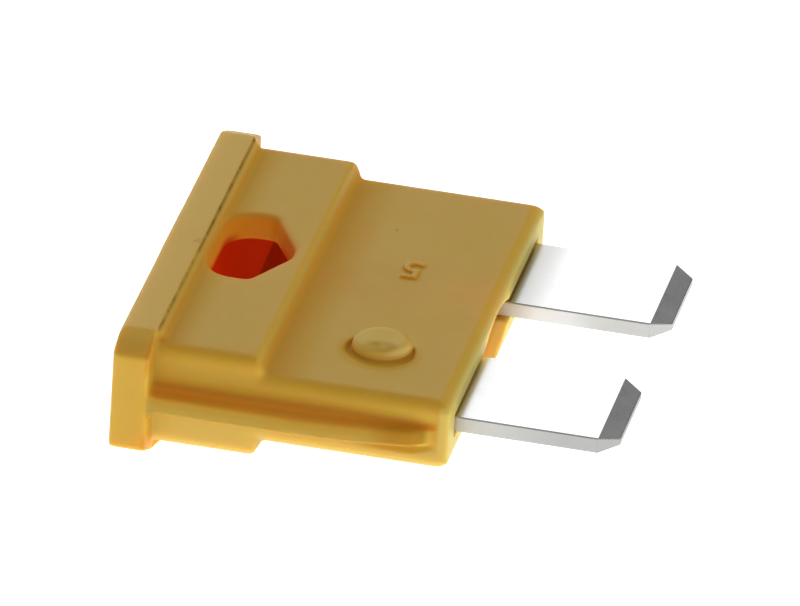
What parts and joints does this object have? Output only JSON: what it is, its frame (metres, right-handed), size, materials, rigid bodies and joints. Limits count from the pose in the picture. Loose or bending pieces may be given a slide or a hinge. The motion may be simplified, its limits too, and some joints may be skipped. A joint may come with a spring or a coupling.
{
  "type": "automotive blade fuse",
  "caption": "Regular-size automotive blade fuse: a moulded amber housing with a thick head, a stepped body and a stamped metal element whose blades stand out of its open end.",
  "frame": {"origin": "centre of the housing's open end, midway between the two blades and at the middle of their thickness", "axes": "+X along the blades, out of the housing; +Y across the fuse, from one blade to the other; +Z through the thickness"},
  "size_m": [0.019, 0.019, 0.0052],
  "materials": {
    "moulded_plastic": "satin, slightly translucent amber moulding",
    "plated_metal": "bright plated strip, rolled grain, sheared edges"
  },
  "bodies": {
    "root": {"housing": "moulded_plastic", "fuse_element": "plated_metal"}
  },
  "joints": []
}
